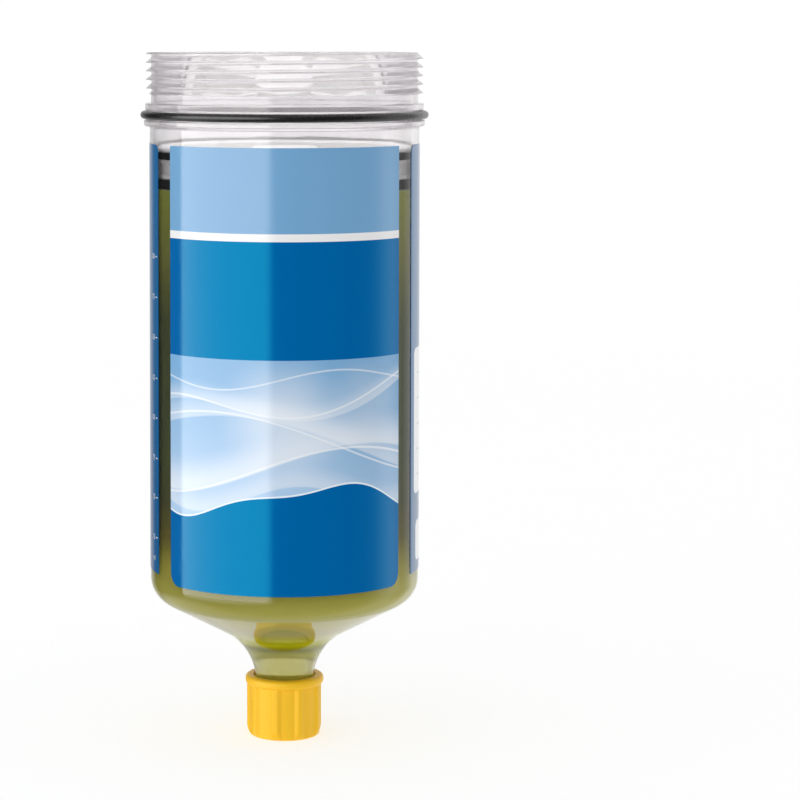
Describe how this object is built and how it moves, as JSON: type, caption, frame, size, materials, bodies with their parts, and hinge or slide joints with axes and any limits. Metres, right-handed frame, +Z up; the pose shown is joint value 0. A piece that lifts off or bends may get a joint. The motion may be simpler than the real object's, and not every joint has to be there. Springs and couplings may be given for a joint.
{
  "type": "automatic lubricator refill canister",
  "caption": "Clear oil canister for an automatic lubricator: threaded open mouth, sealed follower piston, labelled barrel, funnel and a ribbed screw cap on its outlet.",
  "frame": {"origin": "centre of the outlet cap's base, on the axis of the canister", "axes": "+Z up along the axis of the canister, from the outlet to the mouth; the middle of the front label faces -Y"},
  "size_m": [0.065, 0.065, 0.1572],
  "materials": {
    "clear_plastic": "clear moulded plastic, glossy",
    "seal_rubber": "satin",
    "natural_plastic": "natural translucent plastic",
    "oil": "clear olive-green oil",
    "front_label_film": "glossy printed film",
    "back_label_film": "glossy printed film",
    "yellow_plastic": "satin moulded plastic",
    "liner_foam": "closed-cell foam"
  },
  "bodies": {
    "canister": {"container": "clear_plastic", "neck_o_ring": "seal_rubber", "lubricant_fill": "oil", "front_label": "front_label_film", "back_label": "back_label_film"},
    "piston": {"piston": "natural_plastic", "piston_upper_seal": "seal_rubber", "piston_lower_seal": "seal_rubber"},
    "liner": {"cap_liner": "liner_foam"},
    "cap": {"outlet_cap": "yellow_plastic"}
  },
  "joints": [
    {"name": "piston_slide", "type": "slide", "parent": "canister", "child": "piston", "axis": [0, 0, -1], "range_m": [0, 0.088], "deforming": ["lubricant_fill"]},
    {"name": "cap_advance", "type": "slide", "parent": "canister", "child": "liner", "axis": [0, 0, -1], "range_m": [0, 0.01069]},
    {"name": "cap_turn", "type": "hinge", "parent": "liner", "child": "cap", "pos_m": [0, 0, 0.007], "axis": [0, 0, -1], "range_deg": [0, 2880]}
  ],
  "couplings": [
    {"joint": "cap_turn", "follows": "cap_advance", "rad_per_m": 4699.5}
  ]
}
